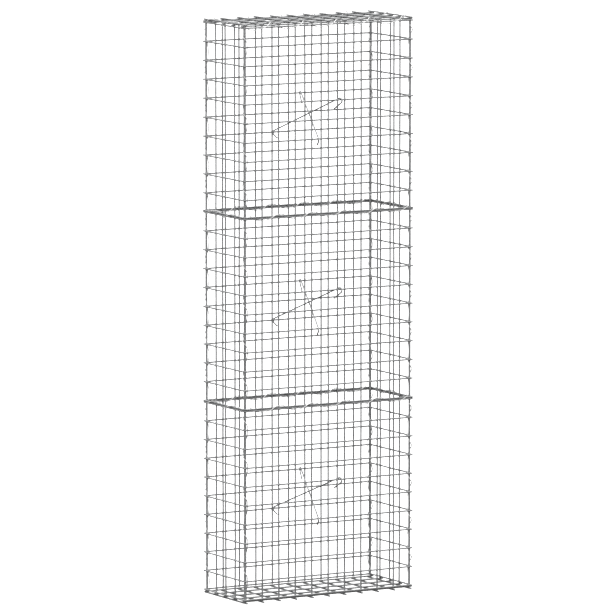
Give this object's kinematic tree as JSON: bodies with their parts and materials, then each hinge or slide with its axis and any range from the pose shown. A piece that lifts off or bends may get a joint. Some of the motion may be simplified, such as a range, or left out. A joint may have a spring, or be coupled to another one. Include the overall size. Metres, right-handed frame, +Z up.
{
  "type": "gabion wall",
  "caption": "Tall, narrow upright cage of welded square wire mesh in stacked sections, with mesh floor, mesh lid and crossed tie wires, to be filled with rock as a garden wall.",
  "frame": {"origin": "centre of the footprint, on the ground under the floor panel's lowest wires", "axes": "+X along the front to the right, +Y to the rear, +Z up"},
  "size_m": [0.5254, 0.234, 1.53],
  "materials": {
    "mesh_wire": "zinc-coated welded steel wire, mid grey, satin with soft spangle",
    "tie_wire": "zinc-coated drawn steel wire, mid grey, satin",
    "spiral_wire": "bright zinc-coated binding wire, pale grey, satin"
  },
  "bodies": {
    "root": {"floor_panel": "mesh_wire", "lower_front_panel": "mesh_wire", "lower_rear_panel": "mesh_wire", "lower_left_panel": "mesh_wire", "lower_right_panel": "mesh_wire", "middle_front_panel": "mesh_wire", "middle_rear_panel": "mesh_wire", "middle_left_panel": "mesh_wire", "middle_right_panel": "mesh_wire", "upper_front_panel": "mesh_wire", "upper_rear_panel": "mesh_wire", "upper_left_panel": "mesh_wire", "upper_right_panel": "mesh_wire", "lid_panel": "mesh_wire", "lower_tie_a": "tie_wire", "lower_tie_b": "tie_wire", "middle_tie_a": "tie_wire", "middle_tie_b": "tie_wire", "upper_tie_a": "tie_wire", "upper_tie_b": "tie_wire", "front_left_spirals": "spiral_wire", "front_right_spirals": "spiral_wire", "rear_left_spirals": "spiral_wire", "rear_right_spirals": "spiral_wire", "lower_joint_front_spiral": "spiral_wire", "lower_joint_rear_spiral": "spiral_wire", "lower_joint_left_spiral": "spiral_wire", "lower_joint_right_spiral": "spiral_wire", "upper_joint_front_spiral": "spiral_wire", "upper_joint_rear_spiral": "spiral_wire", "upper_joint_left_spiral": "spiral_wire", "upper_joint_right_spiral": "spiral_wire", "lid_front_spiral": "spiral_wire", "lid_rear_spiral": "spiral_wire", "lid_left_spiral": "spiral_wire", "lid_right_spiral": "spiral_wire"}
  },
  "joints": []
}
